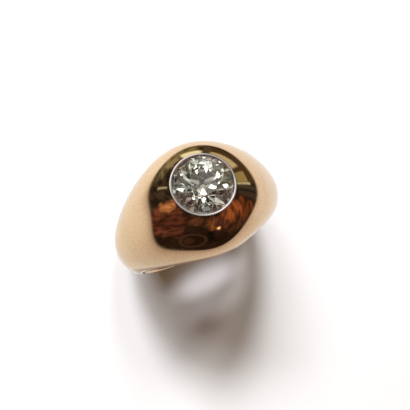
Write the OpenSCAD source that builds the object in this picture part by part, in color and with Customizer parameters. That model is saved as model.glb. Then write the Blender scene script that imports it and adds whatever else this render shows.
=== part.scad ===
// Band ring with a domed head and one round stone, in millimetres.
// The ring is drawn upright first: the finger goes along Y and the stone looks up along Z.
// lay_down() then tips it onto one side, as it lies on a table, with Z = 0 the table.

/* [Finger hole] */
// Diameter of the finger hole
bore_d = 19; // [17:0.5:21]
// Rounding of the finger hole's edges
edge_round = 0.3; // [0.2:0.05:0.4]

/* [Head] */
// Width of the head, along the finger
head_w = 15.2; // [14.4:0.2:17]
// Thickness of the full dome above the finger hole
head_t = 7.1; // [6.8:0.1:8]
// Depth filed off each side of the head, where the ring lies
side_file = 0.15; // [0.1:0.05:0.25]

/* [Shank] */
// Width of the shank at the back
shank_w = 4.4; // [3.6:0.2:6]
// Thickness of the shank at the back
shank_t = 1.7; // [1.4:0.1:2.4]

/* [Stone] */
// Diameter of the stone's girdle
stone_d = 7.6; // [6.8:0.1:7.8]
// Table, as a share of the diameter
table_share = 0.48; // [0.42:0.02:0.6]
// Crown angle in degrees
crown_angle = 32; // [30:1:36]
// Pavilion angle in degrees
pavilion_angle = 41; // [39:1:42]
// Turn of the facets about the stone's axis
stone_turn = 25; // [0:1:45]

/* [Setting] */
// Thickness of the setting's wall round the stone's edge
collet_wall = 0.2; // [0.15:0.05:0.35]
// How far the lip stands proud of the dome
lip_proud = 0.12; // [0.05:0.01:0.25]
// Clearance between pieces
gap = 0.05; // [0.03:0.01:0.08]

/* [Smoothness] */
// Sections round the band
band_sections = 72; // [48:12:96]
// Strips across each section's outside
band_strips = 22; // [16:2:26]

/* [Hidden] */

bore_r = bore_d / 2;

// The band's sections from the stone (0 degrees) to the back of the shank (180 degrees).
// WIDTH and THICK run from 1, the head's size, to 0, the shank's.
// LEAN is the section's form: 1 is an ellipse, less is fuller and more falls away sooner.
ANGLE = 0;
WIDTH = 1;
THICK = 2;
LEAN = 3;
SECTIONS = [
    [0, 1.00, 1.00, 0.92],
    [15, 0.94, 0.92, 0.98],
    [30, 0.79, 0.69, 1.09],
    [50, 0.56, 0.39, 1.20],
    [70, 0.34, 0.23, 1.25],
    [90, 0.18, 0.11, 1.25],
    [120, 0.06, 0.01, 1.15],
    [150, 0.01, 0.00, 1.05],
    [180, 0.00, 0.00, 0.96]
];
LAST = len(SECTIONS) - 1;

// Row of the table that an angle from 0 to 180 falls in
function row_at(a, i = 0) = i >= LAST - 1 || a < SECTIONS[i + 1][ANGLE] ? i : row_at(a, i + 1);

// Slope of a column at a row, level at both ends of the table
function slope_at(i, column) =
    i == 0 || i == LAST ? 0
    : (SECTIONS[i + 1][column] - SECTIONS[i - 1][column])
        / (SECTIONS[i + 1][ANGLE] - SECTIONS[i - 1][ANGLE]);

// Smooth value of a column at any angle round the ring
function smooth(a, column) =
    let (
        fold = abs(a > 180 ? 360 - a : a),
        i = row_at(fold),
        span = SECTIONS[i + 1][ANGLE] - SECTIONS[i][ANGLE],
        t = (fold - SECTIONS[i][ANGLE]) / span
    )
    (2 * pow(t, 3) - 3 * pow(t, 2) + 1) * SECTIONS[i][column]
    + (pow(t, 3) - 2 * pow(t, 2) + t) * span * slope_at(i, column)
    + (3 * pow(t, 2) - 2 * pow(t, 3)) * SECTIONS[i + 1][column]
    + (pow(t, 3) - pow(t, 2)) * span * slope_at(i + 1, column);

function half_width(a) = (shank_w + (head_w - shank_w) * smooth(a, WIDTH)) / 2;
function thickness(a) = shank_t + (head_t - shank_t) * smooth(a, THICK);

// Height of the full dome above the ring's centre, at a distance along the finger
function dome_z(y) =
    bore_r + edge_round
    + (head_t - edge_round) * pow(1 - pow(2 * y / head_w, 2), smooth(0, LEAN) / 2);

// One section as points [y, height above the finger hole], from one edge over to the other.
// It dips under the finger hole's wall at each rounded edge and closes at its core, so that the
// bore cuts the wall true.
function section(a) =
    let (
        w = half_width(a),
        t = thickness(a) - edge_round,
        lean = smooth(a, LEAN),
        r = edge_round,
        start = w - 1.3 * r,
        dip = -0.2 * r,
        core = -2 * r
    )
    concat(
        [for (i = [0 : band_strips])
            let (u = -90 + 180 * i / band_strips)
            [w * sin(u), r + t * pow(cos(u), lean)]],
        [for (v = [30, 60]) [w - r + r * cos(v), r - r * sin(v)]],
        [[start, dip], [start, core], [-start, core], [-start, dip]],
        [for (v = [60, 30]) [r - w - r * cos(v), r - r * sin(v)]]
    );

// Plane that the ring lies on: it touches the head's side, and the back of the shank at a share
// of the shank's thickness
back_touch_share = 1 / 3;
lie_head_y = head_w / 2 - side_file;
lie_back_y = shank_w / 2 - side_file / 2;
lie_back_z = -bore_r - back_touch_share * shank_t;
lie_angle = atan((lie_head_y - lie_back_y) / (bore_r - lie_back_z));
lie_offset = lie_head_y * cos(lie_angle) - bore_r * sin(lie_angle);

// The stone's levels: the girdle's edge lies just under the setting's lip
collet_r = stone_d / 2 + gap + collet_wall;
lip_z = dome_z(collet_r) + lip_proud;
lip_drop = 0.35;
girdle_t = 0.2;
girdle_r = stone_d / 2;
girdle_top = lip_z - lip_drop;
girdle_low = girdle_top - girdle_t;
half_step = 22.5;
quarter_step = 11.25;
table_r = table_share * girdle_r;
table_z = girdle_top + (girdle_r - table_r) * tan(crown_angle);
culet_share = 0.07;
culet_z = girdle_low - (1 - culet_share) * girdle_r * tan(pavilion_angle);

// Where the star facets and the lower halves end, on the ridge between two main facets
star_share = 0.55;
lower_half_share = 0.62;
star_in = table_r * cos(half_step);
star_tip = star_in + star_share * (girdle_r - star_in);
star_tip_z = girdle_top + (girdle_r - star_tip * cos(half_step)) * tan(crown_angle);
star_angle = atan((table_z - star_tip_z) / (star_tip - star_in));
upper_angle = atan((star_tip_z - girdle_top) / ((girdle_r - star_tip) * cos(quarter_step)));
lower_tip = (1 - lower_half_share) * girdle_r;
lower_tip_drop = (girdle_r - lower_tip * cos(half_step)) * tan(pavilion_angle);
lower_angle = atan(lower_tip_drop / ((girdle_r - lower_tip) * cos(quarter_step)));

// The seat in the head: a wide hole for the setting and, inside a step, a narrower one for light
step_t = 1.8;
step_w = 0.75;
seat_z = bore_r + step_t;
light_r = collet_r - step_w;

// Front and back reach of the ring as it lies, to set the origin under the middle of its box.
// The shank's back is round, so the lean moves its furthest point by a share of its width.
back_round_share = 1 / 8;
reach_front = table_z * cos(lie_angle) + star_in * sin(lie_angle);
reach_back = (bore_r + shank_t) * cos(lie_angle) + back_round_share * shank_w * sin(lie_angle);
shift_y = (reach_front - reach_back) / 2;

// Tips the upright ring onto its side, with the stone facing front
module lay_down() {
    translate([0, shift_y, lie_offset])
        rotate([90 - lie_angle, 0, 0])
            rotate([0, 0, 180])
                children();
}

// Outer form of the band, a ring of sections
module band_blank() {
    loops = [for (i = [0 : band_sections - 1])
        let (a = 360 * i / band_sections)
        [for (p = section(a)) [(bore_r + p[1]) * sin(a), p[0], (bore_r + p[1]) * cos(a)]]];
    n = len(loops[0]);
    quads = [for (i = [0 : band_sections - 1], j = [0 : n - 1])
        let (k = (i + 1) % band_sections, m = (j + 1) % n)
        [i * n + j, i * n + m, k * n + m, k * n + j]];
    faces = [for (q = quads) each [[q[0], q[1], q[2]], [q[0], q[2], q[3]]]];
    polyhedron(points = [for (l = loops) each l], faces = faces, convexity = 6);
}

// Half-space beyond the plane that the ring lies on, for one side or the other
module side_cut(side) {
    block = 60;
    rotate([-side * lie_angle, 0, 0])
        translate([-block / 2, side > 0 ? lie_offset : -lie_offset - block, -block / 2])
            cube(block);
}

// The ring itself
module band() {
    color("#d9b48f")
        lay_down()
            difference() {
                band_blank();
                rotate([90, 0, 0])
                    cylinder(r = bore_r, h = 2 * head_w, center = true, $fn = 128);
                side_cut(1);
                side_cut(-1);
                translate([0, 0, seat_z])
                    cylinder(r = collet_r + gap, h = head_t, $fn = 96);
                cylinder(r = light_r, h = seat_z + 1, $fn = 96);
            }
}

// The collet: lip, seat for the stone, and an open tube down to the head's inner step
module setting() {
    foot = seat_z + gap;
    seat_in = light_r;
    seat_low = girdle_low - gap - (girdle_r - seat_in) * tan(pavilion_angle);
    lip_over = 0.08;
    lip_in = girdle_r - lip_over;
    lip_under = girdle_top + gap + (girdle_r - lip_in) * tan(upper_angle);
    soft = 0.075;
    color("#d8d5d3")
        lay_down()
            rotate_extrude($fn = 96)
                polygon([
                    [seat_in, foot],
                    [collet_r, foot],
                    [collet_r, lip_z - soft],
                    [collet_r - soft, lip_z],
                    [lip_in + soft / 2, lip_z],
                    [lip_in, lip_z - soft],
                    [lip_in, lip_under],
                    [girdle_r + gap, girdle_top + gap],
                    [girdle_r + gap, girdle_low - gap],
                    [seat_in, seat_low]
                ]);
}

// The facets as rows [azimuth, distance, height, slope down outwards]; past 90 the slope looks down
half_chord = girdle_r * cos(quarter_step);
CROWN = [for (k = [0 : 7]) each [
    [45 * k, girdle_r, girdle_top, crown_angle],
    [45 * k + half_step, star_in, table_z, star_angle],
    [45 * k + quarter_step, half_chord, girdle_top, upper_angle],
    [45 * k - quarter_step, half_chord, girdle_top, upper_angle]
]];
PAVILION = [for (k = [0 : 7]) each [
    [45 * k, girdle_r, girdle_low, 180 - pavilion_angle],
    [45 * k + quarter_step, half_chord, girdle_low, 180 - lower_angle],
    [45 * k - quarter_step, half_chord, girdle_low, 180 - lower_angle]
]];

// Grinds the facets of a list, one after another, on the solid given as a child
module grind(facets, count) {
    block = 12;
    if (count == 0)
        children();
    else
        difference() {
            grind(facets, count - 1)
                children();
            rotate([0, 0, facets[count - 1][0]])
                translate([facets[count - 1][1], 0, facets[count - 1][2]])
                    rotate([0, facets[count - 1][3], 0])
                        translate([-block / 2, -block / 2, 0])
                            cube(block);
        }
}

// The round brilliant: table, 32 crown facets, girdle, 24 pavilion facets and culet
module stone() {
    color("#f4f2e8")
        lay_down()
            rotate([0, 0, stone_turn])
                grind(PAVILION, len(PAVILION))
                    grind(CROWN, len(CROWN))
                        translate([0, 0, culet_z])
                            cylinder(r = girdle_r, h = table_z - culet_z, $fn = 96);
}

band();
setting();
stone();
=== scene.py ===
"""Looks of a domed band ring with one round stone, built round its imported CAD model."""

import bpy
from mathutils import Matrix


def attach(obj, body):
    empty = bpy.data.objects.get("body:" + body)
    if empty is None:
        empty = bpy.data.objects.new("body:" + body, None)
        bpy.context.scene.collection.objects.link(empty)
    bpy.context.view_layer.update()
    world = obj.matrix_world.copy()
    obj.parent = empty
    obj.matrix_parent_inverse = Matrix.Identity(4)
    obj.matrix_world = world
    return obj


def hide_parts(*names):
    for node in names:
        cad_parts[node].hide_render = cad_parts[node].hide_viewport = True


bl_info = {
    "name": "Domed band ring",
    "version": (1, 0, 0),
    "blender": (4, 5, 0),
    "location": "3D View > Sidebar > Ring",
    "description": "Makes a domed band ring with one round stone, and the plain stage it lies on",
    "category": "Add Mesh",
}

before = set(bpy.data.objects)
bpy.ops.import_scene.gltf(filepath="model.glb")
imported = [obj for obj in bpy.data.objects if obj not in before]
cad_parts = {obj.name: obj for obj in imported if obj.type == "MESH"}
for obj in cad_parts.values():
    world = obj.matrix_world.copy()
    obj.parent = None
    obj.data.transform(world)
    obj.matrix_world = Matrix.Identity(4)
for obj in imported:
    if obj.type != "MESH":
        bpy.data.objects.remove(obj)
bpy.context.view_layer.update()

import math
from collections import namedtuple

import bmesh
import bpy
import numpy as np
from bpy.props import FloatProperty, FloatVectorProperty, IntProperty, PointerProperty
from mathutils import Matrix, Quaternion, Vector

BODY = "root"
MM = 0.001

# The band's sections, from the stone at 0 degrees to the back of the shank at 180.
# Width and thickness run from 1, the head's size, to 0, the shank's. Lean is the section's form:
# 1 is an ellipse, less is fuller and more falls away sooner.
Section = namedtuple("Section", "angle width thickness lean")
SECTIONS = [
    Section(0, 1.00, 1.00, 0.92),
    Section(15, 0.94, 0.92, 0.98),
    Section(30, 0.79, 0.69, 1.09),
    Section(50, 0.56, 0.39, 1.20),
    Section(70, 0.34, 0.23, 1.25),
    Section(90, 0.18, 0.11, 1.25),
    Section(120, 0.06, 0.01, 1.15),
    Section(150, 0.01, 0.00, 1.05),
    Section(180, 0.00, 0.00, 0.96),
]
SPLINE_STEP = 30.0
# Sides of the round holes, and of the stone before its facets are ground.
ROUND_SIDES = 192


class BandSizes(bpy.types.PropertyGroup):
    """Sizes and colour of the gold band"""

    bore: FloatProperty(
        name="Finger hole", description="Diameter of the finger hole", default=0.019,
        min=0.015, max=0.023, unit="LENGTH", precision=4,
    )
    edge: FloatProperty(
        name="Edge rounding", description="Rounding of the finger hole's edges",
        default=0.0003, min=0.0001, max=0.0005, unit="LENGTH", precision=5,
    )
    head_width: FloatProperty(
        name="Head width", description="Width of the head along the finger", default=0.0152,
        min=0.012, max=0.018, unit="LENGTH", precision=4,
    )
    head_thickness: FloatProperty(
        name="Head thickness", description="Thickness of the full dome above the finger hole",
        default=0.0071, min=0.006, max=0.009, unit="LENGTH", precision=4,
    )
    side_file: FloatProperty(
        name="Side file", description="Depth filed off each side of the head, where the ring lies",
        default=0.00015, min=0.0, max=0.0004, unit="LENGTH", precision=5,
    )
    shank_width: FloatProperty(
        name="Shank width", description="Width of the shank at the back", default=0.0044,
        min=0.003, max=0.007, unit="LENGTH", precision=4,
    )
    shank_thickness: FloatProperty(
        name="Shank thickness", description="Thickness of the shank at the back",
        default=0.0017, min=0.001, max=0.003, unit="LENGTH", precision=4,
    )
    steps_round: IntProperty(
        name="Steps round", description="Sections round the band", default=400, min=72, max=480,
    )
    steps_across: IntProperty(
        name="Steps across", description="Strips across each section's outside", default=100,
        min=24, max=120,
    )
    gold: FloatVectorProperty(
        name="Gold", description="Colour of the gold", default=(0.74, 0.537, 0.345),
        min=0.0, max=1.0, size=3, subtype="COLOR",
    )
    polish: FloatProperty(
        name="Roughness", description="Roughness of the polished gold", default=0.05,
        min=0.0, max=0.5, subtype="FACTOR",
    )


class SettingSizes(bpy.types.PropertyGroup):
    """Sizes and colour of the white setting"""

    wall: FloatProperty(
        name="Wall", description="Thickness of the setting's wall round the stone's edge",
        default=0.0002, min=0.0001, max=0.0005, unit="LENGTH", precision=5,
    )
    lip_proud: FloatProperty(
        name="Lip height", description="How far the lip stands proud of the dome",
        default=0.00012, min=0.0, max=0.0004, unit="LENGTH", precision=5,
    )
    gap: FloatProperty(
        name="Clearance", description="Clearance between pieces", default=0.00005,
        min=0.00002, max=0.0001, unit="LENGTH", precision=5,
    )
    steps_round: IntProperty(
        name="Steps round", description="Sections round the setting", default=192, min=48, max=360,
    )
    metal: FloatVectorProperty(
        name="White metal", description="Colour of the setting", default=(0.81, 0.785, 0.79),
        min=0.0, max=1.0, size=3, subtype="COLOR",
    )
    polish: FloatProperty(
        name="Roughness", description="Roughness of the white metal", default=0.14,
        min=0.0, max=0.5, subtype="FACTOR",
    )


class StoneSizes(bpy.types.PropertyGroup):
    """Cut and colour of the stone"""

    diameter: FloatProperty(
        name="Diameter", description="Diameter of the stone's girdle", default=0.0076,
        min=0.006, max=0.008, unit="LENGTH", precision=4,
    )
    table_share: FloatProperty(
        name="Table", description="Table, as a share of the diameter", default=0.48,
        min=0.40, max=0.65, subtype="FACTOR",
    )
    crown_angle: FloatProperty(
        name="Crown", description="Angle of the crown's main facets", default=math.radians(32),
        min=math.radians(28), max=math.radians(38), unit="ROTATION",
    )
    pavilion_angle: FloatProperty(
        name="Pavilion", description="Angle of the pavilion's main facets",
        default=math.radians(41), min=math.radians(38), max=math.radians(43), unit="ROTATION",
    )
    turn: FloatProperty(
        name="Turn", description="Turn of the facets about the stone's axis",
        default=math.radians(25), min=0.0, max=math.radians(45), unit="ROTATION",
    )
    tint: FloatVectorProperty(
        name="Tint", description="Colour of the stone", default=(0.985, 0.985, 0.905),
        min=0.0, max=1.0, size=3, subtype="COLOR",
    )


class StageSizes(bpy.types.PropertyGroup):
    """Light, floor and surround of the plain stage"""

    floor: FloatVectorProperty(
        name="Floor", description="Colour of the floor", default=(0.90, 0.895, 0.89),
        min=0.0, max=1.0, size=3, subtype="COLOR",
    )
    key: FloatProperty(
        name="Key light", description="Brightness that the key light alone gives the floor",
        default=1.14, min=0.0, max=4.0,
    )
    fill: FloatVectorProperty(
        name="Fill light", description="Colour and strength of the even light from all round",
        default=(0.118, 0.066, 0.032), min=0.0, max=2.0, size=3, subtype="COLOR",
    )
    pools: FloatProperty(
        name="Pool light", description="Brightness of the soft pools of light behind the ring",
        default=1.0, min=0.0, max=4.0,
    )


class RingSizes(bpy.types.PropertyGroup):
    """Everything that shapes and colours the ring and its stage"""

    band: PointerProperty(type=BandSizes)
    setting: PointerProperty(type=SettingSizes)
    stone: PointerProperty(type=StoneSizes)
    stage: PointerProperty(type=StageSizes)


Layout = namedtuple(
    "Layout",
    "lie_angle lie_offset shift collet_r light_r seat_z foot_z lip_z girdle_r girdle_top"
    " girdle_low table_r table_z culet_z",
)


def layout(sizes):
    """Levels and radii that the pieces share. The stone looks along Z and the finger goes along Y."""
    band, setting, stone = sizes.band, sizes.setting, sizes.stone
    bore_r = band.bore / 2
    girdle_r = stone.diameter / 2
    head_y = band.head_width / 2 - band.side_file
    back_y = band.shank_width / 2 - band.side_file / 2
    back_z = -bore_r - band.shank_thickness / 3
    lie_angle = math.atan((head_y - back_y) / (bore_r - back_z))
    lie_offset = head_y * math.cos(lie_angle) - bore_r * math.sin(lie_angle)
    collet_r = girdle_r + setting.gap + setting.wall
    dome = math.sqrt(1 - (2 * collet_r / band.head_width) ** 2) ** SECTIONS[0].lean
    lip_z = bore_r + band.edge + (band.head_thickness - band.edge) * dome + setting.lip_proud
    lip_drop, girdle_t, step_t, step_w, culet_share = 0.35 * MM, 0.2 * MM, 1.8 * MM, 0.75 * MM, 0.07
    girdle_top = lip_z - lip_drop
    girdle_low = girdle_top - girdle_t
    table_r = stone.table_share * girdle_r
    table_z = girdle_top + (girdle_r - table_r) * math.tan(stone.crown_angle)
    culet_z = girdle_low - (1 - culet_share) * girdle_r * math.tan(stone.pavilion_angle)
    seat_z = bore_r + step_t
    table_edge = table_r * math.cos(math.radians(22.5))
    front = table_z * math.cos(lie_angle) + table_edge * math.sin(lie_angle)
    back = (bore_r + band.shank_thickness) * math.cos(lie_angle)
    back += band.shank_width / 8 * math.sin(lie_angle)
    return Layout(
        lie_angle, lie_offset, (front - back) / 2, collet_r, collet_r - step_w, seat_z,
        seat_z + setting.gap, lip_z, girdle_r, girdle_top, girdle_low, table_r, table_z, culet_z,
    )


def lay_down(plan):
    """Matrix that tips the upright ring onto its side, with the stone facing front."""
    tip = Matrix.Rotation(math.pi / 2 - plan.lie_angle, 4, "X")
    turn = Matrix.Rotation(math.pi, 4, "Z")
    return Matrix.Translation((0, plan.shift, plan.lie_offset)) @ tip @ turn


class Wire:
    """A value in a node tree. Arithmetic on it adds the Math nodes that do the sum."""

    def __init__(self, tree, socket):
        self.tree = tree
        self.socket = socket

    def math(self, operation, *others):
        node = self.tree.nodes.new("ShaderNodeMath")
        node.operation = operation
        for slot, value in enumerate((self, *others)):
            feed(self.tree, node.inputs[slot], value)
        return Wire(self.tree, node.outputs[0])

    def __add__(self, other):
        return self.math("ADD", other)

    def __sub__(self, other):
        return self.math("SUBTRACT", other)

    def __mul__(self, other):
        return self.math("MULTIPLY", other)

    def __truediv__(self, other):
        return self.math("DIVIDE", other)

    def __pow__(self, other):
        return self.math("POWER", other)

    def __neg__(self):
        return self.math("MULTIPLY", -1.0)

    __radd__ = __add__
    __rmul__ = __mul__

    def __rsub__(self, other):
        return (-self) + other

    def sin(self):
        return self.math("SINE")

    def cos(self):
        return self.math("COSINE")

    def size(self):
        return self.math("ABSOLUTE")

    def sign(self):
        return self.math("SIGN")

    def above(self, low):
        return self.math("MAXIMUM", low)

    def below(self, high):
        return self.math("MINIMUM", high)

    def unit(self):
        """The value held between 0 and 1."""
        return self.above(0.0).below(1.0)

    def ramp(self, low, high):
        """0 below low, 1 above high and a smooth step between."""
        node = self.tree.nodes.new("ShaderNodeMapRange")
        node.interpolation_type = "SMOOTHSTEP"
        feed(self.tree, node.inputs["Value"], self)
        node.inputs["From Min"].default_value = low
        node.inputs["From Max"].default_value = high
        return Wire(self.tree, node.outputs["Result"])


def feed(tree, socket, value):
    """Links a wire to a socket, or sets the socket to a plain value."""
    if isinstance(value, Wire):
        tree.links.new(value.socket, socket)
    else:
        socket.default_value = value


def place(tree, kind, **inputs):
    """Adds a node, feeds its inputs by name, and returns its first output as a wire."""
    node = tree.nodes.new(kind)
    for name, value in inputs.items():
        feed(tree, node.inputs[name.replace("_", " ")], value)
    return Wire(tree, node.outputs[0])


def axes(tree, vector):
    """The X, Y and Z of a vector, as wires."""
    node = tree.nodes.new("ShaderNodeSeparateXYZ")
    feed(tree, node.inputs["Vector"], vector)
    return [Wire(tree, output) for output in node.outputs]


def scaled(tree, colour, factor):
    """A colour or vector times a number."""
    node = tree.nodes.new("ShaderNodeVectorMath")
    node.operation = "SCALE"
    feed(tree, node.inputs[0], colour)
    feed(tree, node.inputs["Scale"], factor)
    return Wire(tree, node.outputs[0])


def new_group(name, kind, inputs, outputs):
    """A node group with named sockets. Returns the tree, its inputs as wires and its output node."""
    tree = bpy.data.node_groups.new(name, kind)
    for in_out, sockets in (("INPUT", inputs), ("OUTPUT", outputs)):
        for label, socket_type, *default in sockets:
            item = tree.interface.new_socket(name=label, in_out=in_out, socket_type=socket_type)
            if default:
                item.default_value = default[0]
    entry = tree.nodes.new("NodeGroupInput")
    wires = {label: Wire(tree, entry.outputs[label]) for label, *_ in inputs}
    return tree, wires, tree.nodes.new("NodeGroupOutput")


def spread(tree, gap=(220, 170)):
    """Sets a tree's nodes out in columns, each node left of the ones that it feeds."""
    depth = {node: 0 for node in tree.nodes}
    for _ in tree.nodes:
        moved = False
        for link in tree.links:
            if depth[link.from_node] < depth[link.to_node] + 1:
                depth[link.from_node] = depth[link.to_node] + 1
                moved = True
        if not moved:
            break
    rows = {}
    for node, column in depth.items():
        rows[column] = rows.get(column, -1) + 1
        node.location = (-gap[0] * column, -gap[1] * rows[column])


def bend_terms(column):
    """Terms of the smooth curve through a column, level at both ends: a square, then a cube a row."""
    at = [row.angle / SPLINE_STEP for row in SECTIONS]
    end = at[-1]
    rows = [[x ** 2] + [max(x - a, 0.0) ** 3 for a in at[:-1]] for x in at[1:]]
    rows.append([2 * end] + [3 * (end - a) ** 2 for a in at[:-1]])
    first = getattr(SECTIONS[0], column)
    values = [getattr(row, column) - first for row in SECTIONS[1:]] + [0.0]
    return np.linalg.solve(rows, values)


def sections_group():
    """Node group that gives the band's section at an angle from the stone."""
    columns = {"Width": "width", "Thickness": "thickness", "Lean": "lean"}
    tree, wires, end = new_group(
        "Band sections", "GeometryNodeTree",
        [("Angle", "NodeSocketFloat")],
        [(label, "NodeSocketFloat") for label in columns],
    )
    x = wires["Angle"].size() * (math.degrees(1.0) / SPLINE_STEP)
    cubes = [(x - row.angle / SPLINE_STEP).above(0.0) ** 3.0 for row in SECTIONS[:-1]]
    square = x * x
    for label, column in columns.items():
        first, *rest = bend_terms(column)
        value = square * float(first) + float(getattr(SECTIONS[0], column))
        for cube, weight in zip(cubes, rest):
            value = value + cube * float(weight)
        feed(tree, end.inputs[label], value)
    spread(tree)
    return tree


def band_tree():
    """Geometry nodes that sweep the band's changing section round the finger hole."""
    number, whole = "NodeSocketFloat", "NodeSocketInt"
    tree, size, end = new_group(
        "Domed band", "GeometryNodeTree",
        [
            ("Finger hole radius", number), ("Edge rounding", number), ("Head width", number),
            ("Head thickness", number), ("Shank width", number), ("Shank thickness", number),
            ("Steps round", whole), ("Steps across", whole), ("Seat radius", number),
            ("Seat level", number), ("Light hole radius", number), ("Lie angle", number),
            ("Lie offset", number), ("Shift", number), ("Gold", "NodeSocketMaterial"),
        ],
        [("Band", "NodeSocketGeometry")],
    )
    bore, edge = size["Finger hole radius"], size["Edge rounding"]
    sections = sections_group()
    round_steps, wall_steps = 6, 12

    def strip(vertices_across, profile):
        """One grid bent to the ring. profile gives y, height over the bore and wear from its place."""
        grid = tree.nodes.new("GeometryNodeMeshGrid")
        feed(tree, grid.inputs["Vertices X"], size["Steps round"] + 1.0)
        feed(tree, grid.inputs["Vertices Y"], vertices_across)
        grid.inputs["Size X"].default_value = 1.0
        grid.inputs["Size Y"].default_value = 1.0
        along, across, _ = axes(tree, Wire(tree, grid.outputs["UV Map"]))
        angle = (along - 0.5) * (2 * math.pi)
        table = tree.nodes.new("GeometryNodeGroup")
        table.node_tree = sections
        feed(tree, table.inputs["Angle"], angle)
        share = {label: Wire(tree, table.outputs[label]) for label in ("Width", "Thickness", "Lean")}
        half = (size["Shank width"] + (size["Head width"] - size["Shank width"]) * share["Width"]) * 0.5
        thick = size["Shank thickness"]
        thick = thick + (size["Head thickness"] - thick) * share["Thickness"] - edge
        y, height, wear = profile(across, half, thick, share["Lean"])
        radius = bore + height
        x, z = radius * angle.sin(), radius * angle.cos()
        over = y.size() * size["Lie angle"].cos() - z * size["Lie angle"].sin() - size["Lie offset"]
        over = over.above(0.0)
        y = y - y.sign() * over * size["Lie angle"].cos()
        z = z + over * size["Lie angle"].sin()
        bent = place(
            tree, "GeometryNodeSetPosition", Geometry=Wire(tree, grid.outputs["Mesh"]),
            Position=place(tree, "ShaderNodeCombineXYZ", X=x, Y=y, Z=z),
        )
        marked = tree.nodes.new("GeometryNodeStoreNamedAttribute")
        marked.data_type, marked.domain = "FLOAT", "POINT"
        feed(tree, marked.inputs["Geometry"], bent)
        marked.inputs["Name"].default_value = "edge"
        feed(tree, marked.inputs["Value"], wear)
        return Wire(tree, marked.outputs["Geometry"])

    def outside(across, half, thick, lean):
        turn = (across - 0.5) * math.pi
        height = edge + thick * turn.cos().above(0.0) ** lean
        return half * turn.sin(), height, (turn.size() - 1.3) / 0.27

    def inside(across, half, thick, lean):
        place_in = across * float(2 * round_steps + wall_steps)
        first = (place_in / float(round_steps)).unit()
        wall = ((place_in - float(round_steps)) / float(wall_steps)).unit()
        last = ((place_in - float(round_steps + wall_steps)) / float(round_steps)).unit()
        quarter = math.pi / 2
        flat = half - edge
        y = flat + edge * (first * quarter).cos() - flat * wall * 2.0 - edge * (last * quarter).sin()
        height = edge - edge * (first * quarter).sin() + edge - edge * (last * quarter).cos()
        return y, height, (wall - 0.5).size() * 10.0 - 4.0

    skin = strip(size["Steps across"] + 1.0, outside)
    lining = strip(2 * round_steps + wall_steps + 1, inside)
    join = tree.nodes.new("GeometryNodeJoinGeometry")
    for part in (skin, lining):
        tree.links.new(part.socket, join.inputs[0])
    joined = Wire(tree, join.outputs[0])
    closed = place(tree, "GeometryNodeMergeByDistance", Geometry=joined, Distance=1e-6)

    def drill(radius, low, high):
        """A round cutter along the stone's axis, from one level to another."""
        cutter = tree.nodes.new("GeometryNodeMeshCylinder")
        cutter.inputs["Vertices"].default_value = ROUND_SIDES
        feed(tree, cutter.inputs["Radius"], radius)
        feed(tree, cutter.inputs["Depth"], high - low)
        middle = place(tree, "ShaderNodeCombineXYZ", Z=(high + low) * 0.5)
        return place(
            tree, "GeometryNodeTransform", Geometry=Wire(tree, cutter.outputs["Mesh"]),
            Translation=middle,
        )

    top = bore + size["Head thickness"] * 2.0
    part = closed
    for radius, low, high in (
        (size["Seat radius"], size["Seat level"], top),
        (size["Light hole radius"], bore * 0.5, size["Seat level"] + size["Edge rounding"]),
    ):
        cut = tree.nodes.new("GeometryNodeMeshBoolean")
        cut.operation = "DIFFERENCE"
        cut.solver = "EXACT"
        tree.links.new(part.socket, cut.inputs["Mesh 1"])
        tree.links.new(drill(radius, low, high).socket, cut.inputs["Mesh 2"])
        part = Wire(tree, cut.outputs["Mesh"])

    for domain, smooth in (("FACE", True), ("EDGE", False)):
        shade = tree.nodes.new("GeometryNodeSetShadeSmooth")
        shade.domain = domain
        tree.links.new(part.socket, shade.inputs["Geometry"])
        shade.inputs["Shade Smooth"].default_value = smooth
        if domain == "EDGE":
            bend = tree.nodes.new("GeometryNodeInputMeshEdgeAngle")
            sharp = Wire(tree, bend.outputs["Unsigned Angle"]).math("GREATER_THAN", math.radians(34))
            tree.links.new(sharp.socket, shade.inputs["Selection"])
        part = Wire(tree, shade.outputs["Geometry"])

    tip = place(tree, "ShaderNodeCombineXYZ", X=size["Lie angle"] - math.pi / 2, Z=math.pi)
    part = place(
        tree, "GeometryNodeTransform", Geometry=part, Rotation=tip,
        Translation=place(tree, "ShaderNodeCombineXYZ", Y=size["Shift"], Z=size["Lie offset"]),
    )
    part = place(tree, "GeometryNodeRealizeInstances", Geometry=part)
    part = place(tree, "GeometryNodeSetMaterial", Geometry=part, Material=size["Gold"])
    feed(tree, end.inputs["Band"], part)
    spread(tree)
    return tree


def grow(name, tree, values):
    """Runs a geometry node tree and keeps its result as a plain mesh object."""
    piece = show(name, bpy.data.meshes.new(name))
    modifier = piece.modifiers.new(name, "NODES")
    modifier.node_group = tree
    for item in tree.interface.items_tree:
        if item.item_type == "SOCKET" and item.in_out == "INPUT":
            modifier[item.identifier] = values[item.name]
    graph = bpy.context.evaluated_depsgraph_get()
    mesh = bpy.data.meshes.new_from_object(
        piece.evaluated_get(graph), preserve_all_data_layers=True, depsgraph=graph
    )
    piece.modifiers.remove(modifier)
    blank, piece.data = piece.data, mesh
    bpy.data.meshes.remove(blank)
    mesh.name = name
    if not mesh.polygons:
        raise RuntimeError(f"{name}: the node tree gave no faces")
    return piece


def show(name, data):
    """An object of a mesh, lamp or camera, in the scene."""
    made = bpy.data.objects.new(name, data)
    bpy.context.scene.collection.objects.link(made)
    return made


def mesh_of(name, shape):
    """A mesh of a bmesh, which is freed."""
    mesh = bpy.data.meshes.new(name)
    shape.to_mesh(mesh)
    shape.free()
    return mesh


def finish_piece(piece, node):
    """Rides a piece on the body, in place of its CAD node, which it hides."""
    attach(piece, BODY)
    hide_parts(node)


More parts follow.
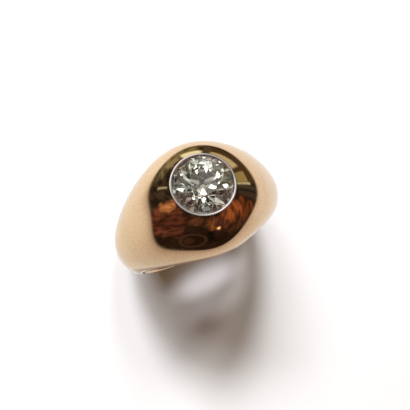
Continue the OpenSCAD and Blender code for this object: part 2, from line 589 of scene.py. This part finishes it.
class MakeBand(bpy.types.Operator):
    """Makes the gold band: domed head, shoulders, shank, finger hole and the stone's seat"""

    bl_idname = "ring.make_band"
    bl_label = "Gold band"

    def execute(self, context):
        sizes = context.scene.domed_ring
        band, plan = sizes.band, layout(sizes)
        piece = grow("gold_band", band_tree(), {
            "Finger hole radius": band.bore / 2,
            "Edge rounding": band.edge,
            "Head width": band.head_width,
            "Head thickness": band.head_thickness,
            "Shank width": band.shank_width,
            "Shank thickness": band.shank_thickness,
            "Steps round": band.steps_round,
            "Steps across": band.steps_across,
            "Seat radius": plan.collet_r + sizes.setting.gap,
            "Seat level": plan.seat_z,
            "Light hole radius": plan.light_r,
            "Lie angle": plan.lie_angle,
            "Lie offset": plan.lie_offset,
            "Shift": plan.shift,
            "Gold": gold_material(band),
        })
        finish_piece(piece, "band")
        return {"FINISHED"}


def solid_piece(name, shape, plan, material):
    """Makes an object of a mesh drawn upright in millimetres, laid down with the ring."""
    bmesh.ops.recalc_face_normals(shape, faces=shape.faces[:])
    mesh = mesh_of(name, shape)
    mesh.transform(lay_down(plan) @ Matrix.Scale(MM, 4))
    mesh.materials.append(material)
    return show(name, mesh)


def rounded(corner, before, after, radius, steps=4):
    """Points of a rounded corner between two straight runs."""
    corner = Vector(corner)
    start = corner + (Vector(before) - corner).normalized() * radius
    stop = corner + (Vector(after) - corner).normalized() * radius
    points = []
    for i in range(steps + 1):
        t = i / steps
        points.append(start * (1 - t) ** 2 + corner * 2 * t * (1 - t) + stop * t ** 2)
    return [tuple(p) for p in points]


class MakeSetting(bpy.types.Operator):
    """Makes the white setting: a lip over the stone's edge, its seat and an open tube below"""

    bl_idname = "ring.make_setting"
    bl_label = "White setting"

    def execute(self, context):
        sizes = context.scene.domed_ring
        plan, setting = layout(sizes), sizes.setting
        gap, soft, lip_over = setting.gap, 0.03 * MM, 0.08 * MM
        ridge, bevel, outer_drop = 0.12 * MM, 0.11 * MM, 0.035 * MM
        lip_in = plan.girdle_r - lip_over
        slope = math.tan(sizes.stone.crown_angle)
        lip_under = plan.girdle_top + gap + lip_over * slope
        seat_low = plan.girdle_low - gap
        seat_low -= (plan.girdle_r - plan.light_r) * math.tan(sizes.stone.pavilion_angle)
        foot_in, foot_out = (plan.light_r, plan.foot_z), (plan.collet_r, plan.foot_z)
        top_out, top_in = (plan.collet_r, plan.lip_z - outer_drop), (plan.collet_r - ridge, plan.lip_z)
        bevel_foot = (plan.collet_r - ridge - bevel, plan.lip_z - outer_drop)
        inner_foot = (lip_in, plan.lip_z - 3 * outer_drop)
        under = (lip_in, lip_under)
        profile = [foot_in, foot_out]
        profile += rounded(top_out, foot_out, top_in, soft)
        profile += rounded(top_in, top_out, bevel_foot, 0.02 * MM, 2)
        profile += rounded(bevel_foot, top_in, inner_foot, 0.02 * MM, 2) + [inner_foot]
        profile += [
            under, (plan.girdle_r + gap, plan.girdle_top + gap),
            (plan.girdle_r + gap, plan.girdle_low - gap), (plan.light_r, seat_low),
        ]
        shape = bmesh.new()
        loops = []
        for i in range(setting.steps_round):
            turn = 2 * math.pi * i / setting.steps_round
            loops.append([
                shape.verts.new((r / MM * math.cos(turn), r / MM * math.sin(turn), z / MM))
                for r, z in profile
            ])
        for i, loop in enumerate(loops):
            after = loops[(i + 1) % len(loops)]
            for j in range(len(profile)):
                k = (j + 1) % len(profile)
                shape.faces.new((loop[j], after[j], after[k], loop[k]))
        piece = solid_piece("white_setting", shape, plan, white_metal_material(setting))
        piece.data.shade_smooth()
        piece.data.set_sharp_from_angle(angle=math.radians(40))
        finish_piece(piece, "setting")
        return {"FINISHED"}


def facet_rows(stone, plan):
    """Rows of (azimuth, distance, height, slope down outwards) for every facet but the table."""
    half, quarter = math.radians(22.5), math.radians(11.25)
    star_share, lower_half_share = 0.55, 0.62
    r = plan.girdle_r
    star_in = plan.table_r * math.cos(half)
    star_tip = star_in + star_share * (r - star_in)
    tip_z = plan.girdle_top + (r - star_tip * math.cos(half)) * math.tan(stone.crown_angle)
    star = math.atan((plan.table_z - tip_z) / (star_tip - star_in))
    upper = math.atan((tip_z - plan.girdle_top) / ((r - star_tip) * math.cos(quarter)))
    low_tip = (1 - lower_half_share) * r
    low_drop = (r - low_tip * math.cos(half)) * math.tan(stone.pavilion_angle)
    lower = math.pi - math.atan(low_drop / ((r - low_tip) * math.cos(quarter)))
    chord = r * math.cos(quarter)
    rows = []
    for k in range(8):
        at = math.radians(45) * k + stone.turn
        rows += [
            (at, r, plan.girdle_top, stone.crown_angle),
            (at + half, star_in, plan.table_z, star),
            (at + quarter, chord, plan.girdle_top, upper),
            (at - quarter, chord, plan.girdle_top, upper),
            (at, r, plan.girdle_low, math.pi - stone.pavilion_angle),
            (at + quarter, chord, plan.girdle_low, lower),
            (at - quarter, chord, plan.girdle_low, lower),
        ]
    return rows


def grind(shape, azimuth, distance, height, slope):
    """Grinds one flat facet and closes the cut."""
    point = (distance * math.cos(azimuth) / MM, distance * math.sin(azimuth) / MM, height / MM)
    outward = (
        math.sin(slope) * math.cos(azimuth), math.sin(slope) * math.sin(azimuth), math.cos(slope),
    )
    bmesh.ops.bisect_plane(
        shape, geom=shape.verts[:] + shape.edges[:] + shape.faces[:], dist=1e-5,
        plane_co=point, plane_no=outward, clear_outer=True,
    )
    rim = [edge for edge in shape.edges if edge.is_boundary]
    if rim:
        bmesh.ops.holes_fill(shape, edges=rim, sides=0)


class MakeStone(bpy.types.Operator):
    """Makes the round brilliant: table, crown, girdle, pavilion and a small culet"""

    bl_idname = "ring.make_stone"
    bl_label = "Stone"

    def execute(self, context):
        sizes = context.scene.domed_ring
        plan = layout(sizes)
        shape = bmesh.new()
        bmesh.ops.create_cone(
            shape, cap_ends=True, segments=ROUND_SIDES, radius1=plan.girdle_r / MM,
            radius2=plan.girdle_r / MM, depth=(plan.table_z - plan.culet_z) / MM,
            matrix=Matrix.Translation((0, 0, (plan.table_z + plan.culet_z) / 2 / MM)),
        )
        for row in facet_rows(sizes.stone, plan):
            grind(shape, *row)
        loose = [vert for vert in shape.verts if not vert.link_faces]
        bmesh.ops.delete(shape, geom=loose, context="VERTS")
        girdle = shape.faces.layers.float.new("girdle")
        for face in shape.faces:
            face[girdle] = float(abs(face.normal.z) < 0.05)
        piece = solid_piece("round_stone", shape, plan, stone_material(sizes.stone))
        finish_piece(piece, "stone")
        return {"FINISHED"}


def new_material(name):
    """A material with one Principled shader. Returns the material, its tree and the shader."""
    material = bpy.data.materials.new(name)
    material.use_nodes = True
    tree = material.node_tree
    tree.nodes.clear()
    shader = tree.nodes.new("ShaderNodeBsdfPrincipled")
    out = tree.nodes.new("ShaderNodeOutputMaterial")
    tree.links.new(shader.outputs["BSDF"], out.inputs["Surface"])
    return material, tree, shader


def object_place(tree):
    """The place on the piece, in millimetres."""
    coordinates = tree.nodes.new("ShaderNodeTexCoord")
    where = Wire(tree, coordinates.outputs["Object"])
    return place(tree, "ShaderNodeMapping", Vector=where, Scale=(1 / MM, 1 / MM, 1 / MM))


def noise(tree, where, scale, detail=2.0, roughness=0.5):
    """A soft noise value at a place."""
    return place(
        tree, "ShaderNodeTexNoise", Vector=where, Scale=scale, Detail=detail, Roughness=roughness,
    )


def blend(tree, factor, low, high):
    """A colour between two, by a factor."""
    node = tree.nodes.new("ShaderNodeMix")
    node.data_type = "RGBA"
    sockets = [s for s in node.inputs if s.enabled]
    for socket, value in zip(sockets, (factor, low, high)):
        if not isinstance(value, Wire) and not isinstance(value, float):
            value = (*value[:3], 1.0)
        feed(tree, socket, value)
    return Wire(tree, [s for s in node.outputs if s.enabled][0])


def handling_group():
    """Shader group of the marks that handling leaves on polished metal: hairlines and smears."""
    name = "Handling marks"
    if name in bpy.data.node_groups:
        return bpy.data.node_groups[name]
    number = "NodeSocketFloat"
    tree, size, end = new_group(
        name, "ShaderNodeTree",
        [("Place", "NodeSocketVector"), ("Hairline scale", number, 1.0), ("Hairlines", number, 0.5),
         ("Smears", number, 0.5)],
        [("Marks", number), ("Smear", number), ("Relief", number)],
    )
    # Rows of (turn about X, Y, Z in degrees, seed): hairlines run several ways.
    runs = [((20, 0, 35), 1.7), ((-35, 25, -20), 9.2), ((60, -15, 80), 23.4), ((5, 70, 10), 41.1)]
    lines = None
    for turn, seed in runs:
        turned = place(
            tree, "ShaderNodeMapping", Vector=size["Place"],
            Location=(seed, seed * 0.37, -seed * 0.61),
            Rotation=[math.radians(angle) for angle in turn], Scale=(0.12, 6.0, 6.0),
        )
        line = noise(tree, turned, size["Hairline scale"], 1.0).ramp(0.66, 0.74)
        lines = line if lines is None else lines.math("MAXIMUM", line)
    patches = noise(tree, size["Place"], 0.35, 3.0).ramp(0.38, 0.68)
    marks = lines * patches * size["Hairlines"]
    smear = noise(tree, size["Place"], 0.6, 4.0, 0.6).ramp(0.42, 0.7) * size["Smears"]
    feed(tree, end.inputs["Marks"], marks)
    feed(tree, end.inputs["Smear"], smear)
    feed(tree, end.inputs["Relief"], 0.0 - marks)
    spread(tree)
    return tree


def handled(tree, where, scale, hairlines, smears):
    """Places the handling group in a material and returns its marks, smear and relief."""
    node = tree.nodes.new("ShaderNodeGroup")
    node.node_tree = handling_group()
    tree.links.new(where.socket, node.inputs["Place"])
    node.inputs["Hairline scale"].default_value = scale
    node.inputs["Hairlines"].default_value = hairlines
    node.inputs["Smears"].default_value = smears
    return [Wire(tree, node.outputs[label]) for label in ("Marks", "Smear", "Relief")]


def relief(tree, shader, height, depth):
    """Feeds a height, in metres of depth, to a shader's normal."""
    bump = tree.nodes.new("ShaderNodeBump")
    bump.inputs["Strength"].default_value = 1.0
    bump.inputs["Distance"].default_value = depth
    tree.links.new(height.socket, bump.inputs["Height"])
    tree.links.new(bump.outputs["Normal"], shader.inputs["Normal"])


def metal_material(name, colour, polish, hairlines, smears, edge_name=None):
    """Polished metal with hairlines, smears and, where the piece has edges marked, worn edges."""
    material, tree, shader = new_material(name)
    where = object_place(tree)
    marks, smear, height = handled(tree, where, 1.0, hairlines, smears)
    worn = None
    if edge_name:
        edge = tree.nodes.new("ShaderNodeAttribute")
        edge.attribute_name = edge_name
        worn = Wire(tree, edge.outputs["Fac"]).unit() * noise(tree, where, 2.2, 3.0).ramp(0.3, 0.7)
    cast = noise(tree, where, 0.22, 2.0).ramp(0.3, 0.7) * 0.4
    grain = noise(tree, where, 4.5, 3.0, 0.65)
    cast = cast + grain.ramp(0.35, 0.65) * 0.6
    deep = [channel ** 1.28 for channel in colour]
    light = [min(1.0, channel * 1.07) for channel in colour]
    shade = blend(tree, cast, deep, light)
    roughness = smear * 0.05 + polish + marks * 0.12
    if worn is not None:
        pale = [channel * 0.7 + 0.27 for channel in colour]
        shade = blend(tree, worn * 0.35, shade, pale)
        roughness = roughness + worn * 0.12
    feed(tree, shader.inputs["Base Color"], shade)
    feed(tree, shader.inputs["Roughness"], roughness)
    shader.inputs["Metallic"].default_value = 1.0
    relief(tree, shader, height, 0.002 * MM)
    spread(tree)
    return material


def gold_material(band):
    """Polished rose-yellow gold."""
    return metal_material("Polished rose gold", tuple(band.gold), band.polish, 0.6, 0.5, "edge")


def white_metal_material(setting):
    """White gold, burnished over the stone."""
    return metal_material("Burnished white gold", tuple(setting.metal), setting.polish, 0.8, 0.7)


def stone_material(stone):
    """Clear cut stone, a little dusty, with a ground girdle."""
    material, tree, shader = new_material("Cut stone")
    where = object_place(tree)
    girdle = tree.nodes.new("ShaderNodeAttribute")
    girdle.attribute_name = "girdle"
    ground = Wire(tree, girdle.outputs["Fac"])
    dust = noise(tree, where, 3.0, 3.0).ramp(0.55, 0.8)
    cast = noise(tree, where, 0.5, 1.0).ramp(0.3, 0.7)
    shade = blend(tree, cast, tuple(stone.tint), (0.99, 0.985, 0.95))
    feed(tree, shader.inputs["Base Color"], shade)
    feed(tree, shader.inputs["Roughness"], dust * 0.006 + ground * 0.3)
    shader.inputs["Metallic"].default_value = 0.0
    shader.inputs["Transmission Weight"].default_value = 1.0
    shader.inputs["IOR"].default_value = 2.42
    spread(tree)
    return material


def floor_material(stage):
    """Plain pale floor with the faintest grain."""
    material, tree, shader = new_material("Pale floor")
    where = object_place(tree)
    grain = noise(tree, where, 0.8, 4.0)
    base = tuple(stage.floor)
    feed(tree, shader.inputs["Base Color"], blend(tree, grain, [c * 0.99 for c in base], base))
    shader.inputs["Roughness"].default_value = 0.9
    shader.inputs["Specular IOR Level"].default_value = 0.0
    spread(tree)
    return material


# What the polished metal and the stone reflect, by direction from the upright ring. Polar is the
# angle from the way that the stone looks, and azimuth turns about it from the ring's right side, with
# the finger at 90. Half is half the card's size in both, soft the width of its edge, all in degrees.
# A pane is square, a round is an oval, and a fold's edge wanders as cloth does.
Card = namedtuple("Card", "name azimuth polar half soft form colour")
CARDS = [
    Card("wall left", 136, 70, (27, 22), 8, "fold", (0.052, 0.042, 0.031)),
    Card("wall left mid", 110, 81, (15, 9), 8, "fold", (0.185, 0.172, 0.110)),
    Card("wall top", 83, 95, (16, 12), 6, "fold", (0.28, 0.25, 0.12)),
    Card("wall post", 57, 90, (4, 12), 3, "pane", (0.105, 0.088, 0.050)),
    Card("wall low", 26, 84, (28, 15), 4, "pane", (0.083, 0.058, 0.026)),
    Card("wall right", -33, 82, (12, 17), 8, "fold", (0.175, 0.065, 0.027)),
    Card("wall far right", -59, 90, (13, 9), 8, "fold", (0.080, 0.040, 0.024)),
    Card("curtain right", -10, 78, (9, 24), 4, "pane", (0.022, 0.018, 0.014)),
    Card("curtain fold", -6, 78, (2.5, 22), 3, "pane", (0.068, 0.064, 0.052)),
    Card("curtain fold far", -15, 82, (3.5, 20), 3, "pane", (0.060, 0.048, 0.040)),
    Card("sky", 52, 28, (88, 18), 10, "fold", (0.52, 0.53, 0.46)),
    Card("sky low", 42, 50, (44, 9), 6, "fold", (0.38, 0.39, 0.33)),
    Card("pane far left", 97, 81, (9, 6), 6, "pane", (0.36, 0.34, 0.22)),
    Card("pane far", 74, 81, (11, 6), 5, "pane", (1.14, 1.30, 1.10)),
    Card("pane right", 38, 77, (16, 8), 4, "pane", (0.65, 0.64, 0.46)),
    Card("pane near", 8, 74, (7, 12), 3, "pane", (0.38, 0.35, 0.18)),
    Card("sill right", -1, 76, (1.5, 14), 2, "pane", (0.60, 0.64, 0.50)),
    Card("sill left", 135, 66, (1.8, 9), 2, "pane", (0.46, 0.48, 0.36)),
    Card("cloth left", 182, 66, (20, 26), 6, "fold", (0.165, 0.060, 0.042)),
    Card("cloth left top", 170, 56, (8, 13), 5, "fold", (0.50, 0.24, 0.11)),
    Card("cloth left low", -158, 65, (18, 20), 14, "fold", (0.105, 0.039, 0.028)),
    Card("cloth left dark", -176, 73, (4, 12), 8, "fold", (0.06, 0.022, 0.012)),
    Card("cloth low", -108, 46, (28, 8), 7, "fold", (0.105, 0.050, 0.032)),
    Card("cloth right", -49, 60, (19, 17), 9, "fold", (0.31, 0.106, 0.044)),
    Card("cloth right low", -76, 62, (10, 12), 8, "fold", (0.115, 0.047, 0.036)),
    Card("cloth amber", -94, 57, (7, 11), 6, "fold", (0.22, 0.092, 0.034)),
    Card("dark low", -98, 83, (6, 12), 5, "fold", (0.008, 0.007, 0.007)),
    Card("glint", -84, 69, (3, 3), 2, "round", (1.5, 1.0, 0.6)),
    Card("oval rim", -121, 88, (18, 16), 3, "round", (0.070, 0.043, 0.032)),
    Card("oval", -121, 88, (15, 13), 3, "round", (0.020, 0.012, 0.010)),
    Card("oval middle", -127, 89, (7, 7), 6, "round", (0.055, 0.028, 0.020)),
    Card("lamp over", 55, 18, (60, 5), 4, "pane", (0.46, 0.44, 0.38)),
]
# Small bright lamps that only the stone's facets pick up.
SPARKS = [
    Card("spark 1", 95, 12, (24, 4.5), 2, "pane", (2.2, 2.2, 2.1)),
    Card("spark 2", 78, 28, (26, 4), 2, "pane", (1.8, 1.8, 1.7)),
    Card("spark 3", 34, 41, (12, 7), 2, "pane", (1.7, 1.7, 1.6)),
    Card("spark 4", 28, 54, (24, 4), 2, "pane", (1.5, 1.5, 1.4)),
    Card("spark 5", -11, 20, (12, 5), 2, "pane", (1.8, 1.8, 1.75)),
    Card("spark 6", -146, 20, (12, 4), 2, "pane", (1.8, 1.8, 1.7)),
    Card("spark 7", 168, 20, (12, 4.5), 2, "pane", (1.5, 1.5, 1.4)),
    Card("spark 8", 56, 20, (7, 3), 2, "pane", (2.6, 2.6, 2.5)),
    Card("spark 9", 124, 28, (8, 4), 2, "pane", (1.5, 1.5, 1.4)),
]
ROOM = (0.019, 0.011, 0.008)


def white_table(tree, x, y, z, azimuth):
    """How far a direction is past the white table's rim, and the table's colour there.

    The rim waves a little round the stone's axis. The table is brightest on the far side of the
    finger hole, dim and warm close to the rim and under the ring, and cooler on the ring's left.
    """
    waves = ((azimuth - 24.6) * math.radians(5.0)).cos() * 0.0535
    rim = x * -0.042 + y * 0.165 + (x * x - y * y) * 0.109 - x * y * 0.2 - 0.237 + waves
    rim = rim - x.below(0.0) * 0.035
    depth = rim - z
    rate = (x + y).above(0.0) * -23.3 - 8.4
    near = (x * -0.104 + y * 0.177 + 0.552) * (depth.above(0.0) * rate).math("EXPONENT")
    level = (x * 0.051 + y * 0.308 + x * x * 0.026 - x * y * 0.09 + 0.884) * (1.0 - near)
    level = level * (1.0 - (y * -0.203 - z * 0.979 - 0.95).above(0.0) * 15.6)
    level = level * (1.0 - (x * 0.17 + y * 0.1 - z * 0.98 - 0.965).above(0.0) * 13.0)
    cool = x.below(0.0) * (z + 0.45).below(0.0)
    clean = (level.unit() - 0.1).above(0.0) ** 0.43 + cool * 1.1
    tone = blend(tree, clean, (1.43, 1.0, 0.76), (0.98, 1.0, 1.0))
    return depth, scaled(tree, tone, level * (cool * 0.3 + 1.0))


def surround(world, plan, stage):
    """What surrounds the ring: even light for the floor, a dim room and a white table for gloss."""
    world.use_nodes = True
    tree = world.node_tree
    tree.nodes.clear()
    coordinates = tree.nodes.new("ShaderNodeTexCoord")
    way = place(
        tree, "ShaderNodeMapping", Vector=Wire(tree, coordinates.outputs["Generated"]),
        Rotation=lay_down(plan).to_3x3().inverted().to_euler("XYZ"),
    )
    x, y, z = axes(tree, way)
    polar = z.math("ARCCOSINE") * math.degrees(1.0)
    azimuth = y.math("ARCTAN2", x) * math.degrees(1.0)
    drift = [(noise(tree, way, scale, 3.0) - 0.5) * 26.0 for scale in (3.1, 4.3)]

    rough = noise(tree, way, 3.0, 4.0)
    slant = place(
        tree, "ShaderNodeCombineXYZ", X=(azimuth + polar) * 0.075, Y=(azimuth - polar) * 0.02, Z=rough,
    )
    folds = noise(tree, slant, 1.6, 4.0, 0.6).ramp(0.36, 0.64)

    def paint(under, cards):
        """Lays cards over a colour, first to last."""
        for card in cards:
            turn, tilt = azimuth, polar
            if card.form == "fold":
                turn, tilt = turn + drift[0], tilt + drift[1]
            across = (turn - float(card.azimuth)).math("WRAP", 180.0, -180.0)
            along = tilt - float(card.polar)
            wide, tall = card.half
            if card.form == "round":
                across = across * (tall / wide)
                across = (across * across + along * along).math("SQRT")
                wide, along = tall, along * 0.0
            mask = None
            for value, half in ((across, wide), (along, tall)):
                inner = max(half - card.soft / 2, 0.0)
                side = 1.0 - value.size().ramp(inner, half + card.soft / 2)
                mask = side if mask is None else mask * side
            face = card.colour
            if card.form == "fold":
                face = blend(tree, folds, [c * 0.4 for c in face], [c * 1.4 for c in face])
            under = blend(tree, mask, under, face)
        return under

    colour = paint(blend(tree, rough.ramp(0.35, 0.7), ROOM, [c * 1.8 for c in ROOM]), CARDS)

    depth, white = white_table(tree, x, y, z, azimuth)
    colour = blend(tree, depth.ramp(-0.05, 0.04), colour, white)

    # Round the way that the stone's table mirrors, a bright patch of ceiling lights the setting's lip.
    facing = x * 0.191 + y * 0.283 + z * 0.940
    patch = facing.ramp(0.743, 0.81) * (1.0 - facing.ramp(0.9877, 0.9945))
    side = (x * -0.368 + y * 0.930).ramp(0.42, 0.62)
    mirrored = blend(tree, patch, colour, blend(tree, side, (0.50, 0.47, 0.43), (1.95, 1.82, 1.76)))

    # Through the stone the room looks paler and a little greener, and the small lamps show.
    ray = tree.nodes.new("ShaderNodeLightPath")
    pale = scaled(tree, (1.0, 0.985, 0.83), place(tree, "ShaderNodeRGBToBW", Color=colour))
    through = paint(blend(tree, 0.75, colour, pale), SPARKS)
    colour = blend(tree, Wire(tree, ray.outputs["Is Transmission Ray"]), mirrored, through)
    colour = blend(tree, Wire(tree, ray.outputs["Is Diffuse Ray"]), colour, tuple(stage.fill))
    colour = blend(tree, Wire(tree, ray.outputs["Is Camera Ray"]), colour, (1.0, 1.0, 1.0))
    light = tree.nodes.new("ShaderNodeBackground")
    feed(tree, light.inputs["Color"], colour)
    out = tree.nodes.new("ShaderNodeOutputWorld")
    tree.links.new(light.outputs["Background"], out.inputs["Surface"])
    spread(tree)


# The key light is three softboxes. Turn is to the ring's right, rise the height of the middle, width
# and tall the size seen from the ring, in degrees. Glow is what each adds to the floor's brightness.
Softbox = namedtuple("Softbox", "name turn rise width tall glow")
SOFTBOXES = [
    Softbox("key", 2.8, 8.4, 8.0, 3.8, (0.385, 0.395, 0.41)),
    Softbox("key_wide", 8.8, 6.4, 17.0, 4.0, (0.42, 0.43, 0.445)),
    Softbox("key_left", -7.5, 10.4, 6.0, 5.0, (0.142, 0.139, 0.135)),
]
# Soft pools of light on the floor behind the ring. Ahead and side place the middle, in metres, rise is
# the angle that the light comes from, wide and deep its spread in degrees, edge how far its rim fades
# in, and glow the brightness of its middle.
Pool = namedtuple("Pool", "name side ahead rise wide deep edge glow")
POOLS = [
    Pool("pool", -0.0032, 0.0350, 45, 9.0, 11.2, 1.0, 0.23),
    Pool("pool_near", -0.0022, 0.0303, 68, 7.0, 5.1, 0.8, 0.40),
]
# How far away the lamps hang, in metres.
POOL_AWAY = 0.127
SOFTBOX_AWAY = 12.0


def lamp(name, kind, at, aim):
    """A lamp at a place, pointed at another. Polished pieces don't mirror it."""
    made = show(name, bpy.data.lights.new(name, kind))
    made.location = at
    made.rotation_mode = "QUATERNION"
    made.rotation_quaternion = (Vector(at) - Vector(aim)).to_track_quat("Z", "Y")
    made.visible_glossy = False
    made.visible_transmission = False
    return made


def softbox(row, stage):
    """A soft light that gives the floor its share of the brightness."""
    turn, rise = math.radians(row.turn), math.radians(row.rise)
    towards = Vector((
        math.sin(turn) * math.cos(rise), -math.cos(turn) * math.cos(rise), math.sin(rise),
    ))
    made = lamp(row.name, "AREA", towards * SOFTBOX_AWAY, (0, 0, 0))
    made.data.shape = "ELLIPSE"
    made.data.size = 2 * SOFTBOX_AWAY * math.tan(math.radians(row.width / 2))
    made.data.size_y = 2 * SOFTBOX_AWAY * math.tan(math.radians(row.tall / 2))
    made.data.color = row.glow
    made.data.energy = stage.key * (math.pi * SOFTBOX_AWAY) ** 2 / math.sin(rise)


def pool_light(row, stage):
    """A narrow soft light from behind the ring that brightens one patch of its shadow."""
    rise = math.radians(row.rise)
    spot = Vector((row.side, row.ahead, 0))
    towards = Vector((0, math.cos(rise), math.sin(rise)))
    made = lamp(row.name, "SPOT", spot + towards * POOL_AWAY, spot)
    made.data.spot_size = math.radians(row.deep)
    made.scale = (row.wide / row.deep, 1, 1)
    made.data.spot_blend = row.edge
    made.data.shadow_soft_size = 0.003
    made.data.color = (0.97, 0.98, 1.04)
    made.data.energy = row.glow * stage.pools * (2 * math.pi * POOL_AWAY) ** 2 / math.sin(rise)


# The camera looks from PLACE to AIM, turned by ROLL about its own axis.
CAMERA_PLACE = (0.01766, -0.08234, 0.05409)
CAMERA_AIM = (-0.00216, 0.00146, 0.00320)
CAMERA_ROLL = 149.3
CAMERA_LENS = 62.35
# Half the floor's side, and how far the floor and the sheet of painted shadow lie below the ring, in
# metres.
FLOOR_HALF = 3.0
FLOOR_DROP = 0.00002
PAINTED_SHADOW_DROP = 0.00004


def painted_shadow_floor(sizes, plan):
    """Painted shadow: a hidden glowing sheet in the finger hole and behind the ring, coloured as the
    floor in the ring's shadow, which only the ring's polish mirrors.
    """
    hole, lie = sizes.band.bore / 2, plan.shift - plan.lie_offset * math.tan(plan.lie_angle)
    # Rows of (side, ahead, half its width, half its depth, share where its edge starts to fade).
    ovals = ((0, lie, hole, hole, 0.98), (-0.003, 0.036, 0.014, 0.024, 0.78))
    shape = bmesh.new()
    for side, ahead, wide, deep, _ in ovals:
        spot = Matrix.Translation((side, ahead, -PAINTED_SHADOW_DROP)) @ Matrix.Diagonal((wide, deep, 1, 1))
        bmesh.ops.create_circle(shape, cap_ends=True, segments=64, radius=1, matrix=spot)
    mesh = mesh_of("painted_shadow_floor", shape)
    material, tree, shader = new_material("Painted shadow floor")
    where = object_place(tree)
    across, along, _ = axes(tree, where)
    lit = None
    for side, ahead, wide, deep, fade in ovals:
        u = (across - side / MM) * (MM / wide)
        v = (along - ahead / MM) * (MM / deep)
        out = (u * u + v * v).math("SQRT").ramp(fade, 1.0)
        lit = out if lit is None else lit * out
    # Painted shadow: the sheet glows with the dim warm colour of the shaded floor, and towards its rim
    # it fades to a glow as bright as the white table round it.
    dim = blend(tree, noise(tree, where, 0.2, 2.0), (0.09, 0.066, 0.05), (0.14, 0.10, 0.078))
    glow = blend(tree, lit, dim, (1.07, 1.09, 1.09))
    shader.inputs["Base Color"].default_value = (0.0, 0.0, 0.0, 1.0)
    shader.inputs["Specular IOR Level"].default_value = 0.0
    feed(tree, shader.inputs["Emission Color"], glow)
    shader.inputs["Emission Strength"].default_value = 1.0
    spread(tree)
    mesh.materials.append(material)
    made = show("painted_shadow_floor", mesh)
    made.visible_camera = False
    made.visible_diffuse = False
    made.visible_shadow = False
    return made


class MakeStage(bpy.types.Operator):
    """Makes the stage: pale floor, soft lights, the surround and the camera"""

    bl_idname = "ring.make_stage"
    bl_label = "Stage"

    def execute(self, context):
        scene = context.scene
        sizes = scene.domed_ring
        stage, plan = sizes.stage, layout(sizes)

        shape = bmesh.new()
        bmesh.ops.create_grid(shape, x_segments=8, y_segments=8, size=FLOOR_HALF)
        mesh = mesh_of("floor", shape)
        mesh.transform(Matrix.Translation((0, 0, -FLOOR_DROP)))
        mesh.materials.append(floor_material(stage))
        floor = show("floor", mesh)
        floor.visible_glossy = False
        floor.visible_transmission = False
        # A hidden sheet of painted shadow that only the ring's reflections show.
        painted_shadow_floor(sizes, plan)

        for row in SOFTBOXES:
            softbox(row, stage)
        for row in POOLS:
            pool_light(row, stage)

        scene.world = bpy.data.worlds.new("surround")
        surround(scene.world, plan, stage)

        lens = bpy.data.cameras.new("camera")
        lens.sensor_width = 36.0
        lens.lens = CAMERA_LENS
        lens.clip_start, lens.clip_end = 0.005, 10.0
        camera = show("camera", lens)
        camera.location = CAMERA_PLACE
        camera.rotation_mode = "QUATERNION"
        look = (Vector(CAMERA_AIM) - Vector(CAMERA_PLACE)).to_track_quat("-Z", "Y")
        camera.rotation_quaternion = look @ Quaternion((0, 0, 1), math.radians(CAMERA_ROLL))
        scene.camera = camera

        scene.view_settings.view_transform = "Standard"
        scene.cycles.max_bounces = 24
        scene.cycles.glossy_bounces = 16
        scene.cycles.transmission_bounces = 24
        return {"FINISHED"}


class RingPanel(bpy.types.Panel):
    """Sizes of the ring and the buttons that make it"""

    bl_idname = "VIEW3D_PT_domed_ring"
    bl_label = "Domed band ring"
    bl_space_type = "VIEW_3D"
    bl_region_type = "UI"
    bl_category = "Ring"

    def draw(self, context):
        sizes = context.scene.domed_ring
        for group, operator in (
            (sizes.band, MakeBand), (sizes.setting, MakeSetting),
            (sizes.stone, MakeStone), (sizes.stage, MakeStage),
        ):
            box = self.layout.box()
            for name in type(group).__annotations__:
                box.prop(group, name)
            box.operator(operator.bl_idname)


MAKERS = (MakeBand, MakeSetting, MakeStone, MakeStage)
CLASSES = (BandSizes, SettingSizes, StoneSizes, StageSizes, RingSizes, *MAKERS, RingPanel)


def register():
    for cls in CLASSES:
        bpy.utils.register_class(cls)
    bpy.types.Scene.domed_ring = PointerProperty(type=RingSizes)


def unregister():
    del bpy.types.Scene.domed_ring
    for cls in reversed(CLASSES):
        bpy.utils.unregister_class(cls)


def main():
    register()
    for step in (
        bpy.ops.ring.make_band, bpy.ops.ring.make_setting, bpy.ops.ring.make_stone,
        bpy.ops.ring.make_stage,
    ):
        step()


if __name__ == "__main__":
    main()
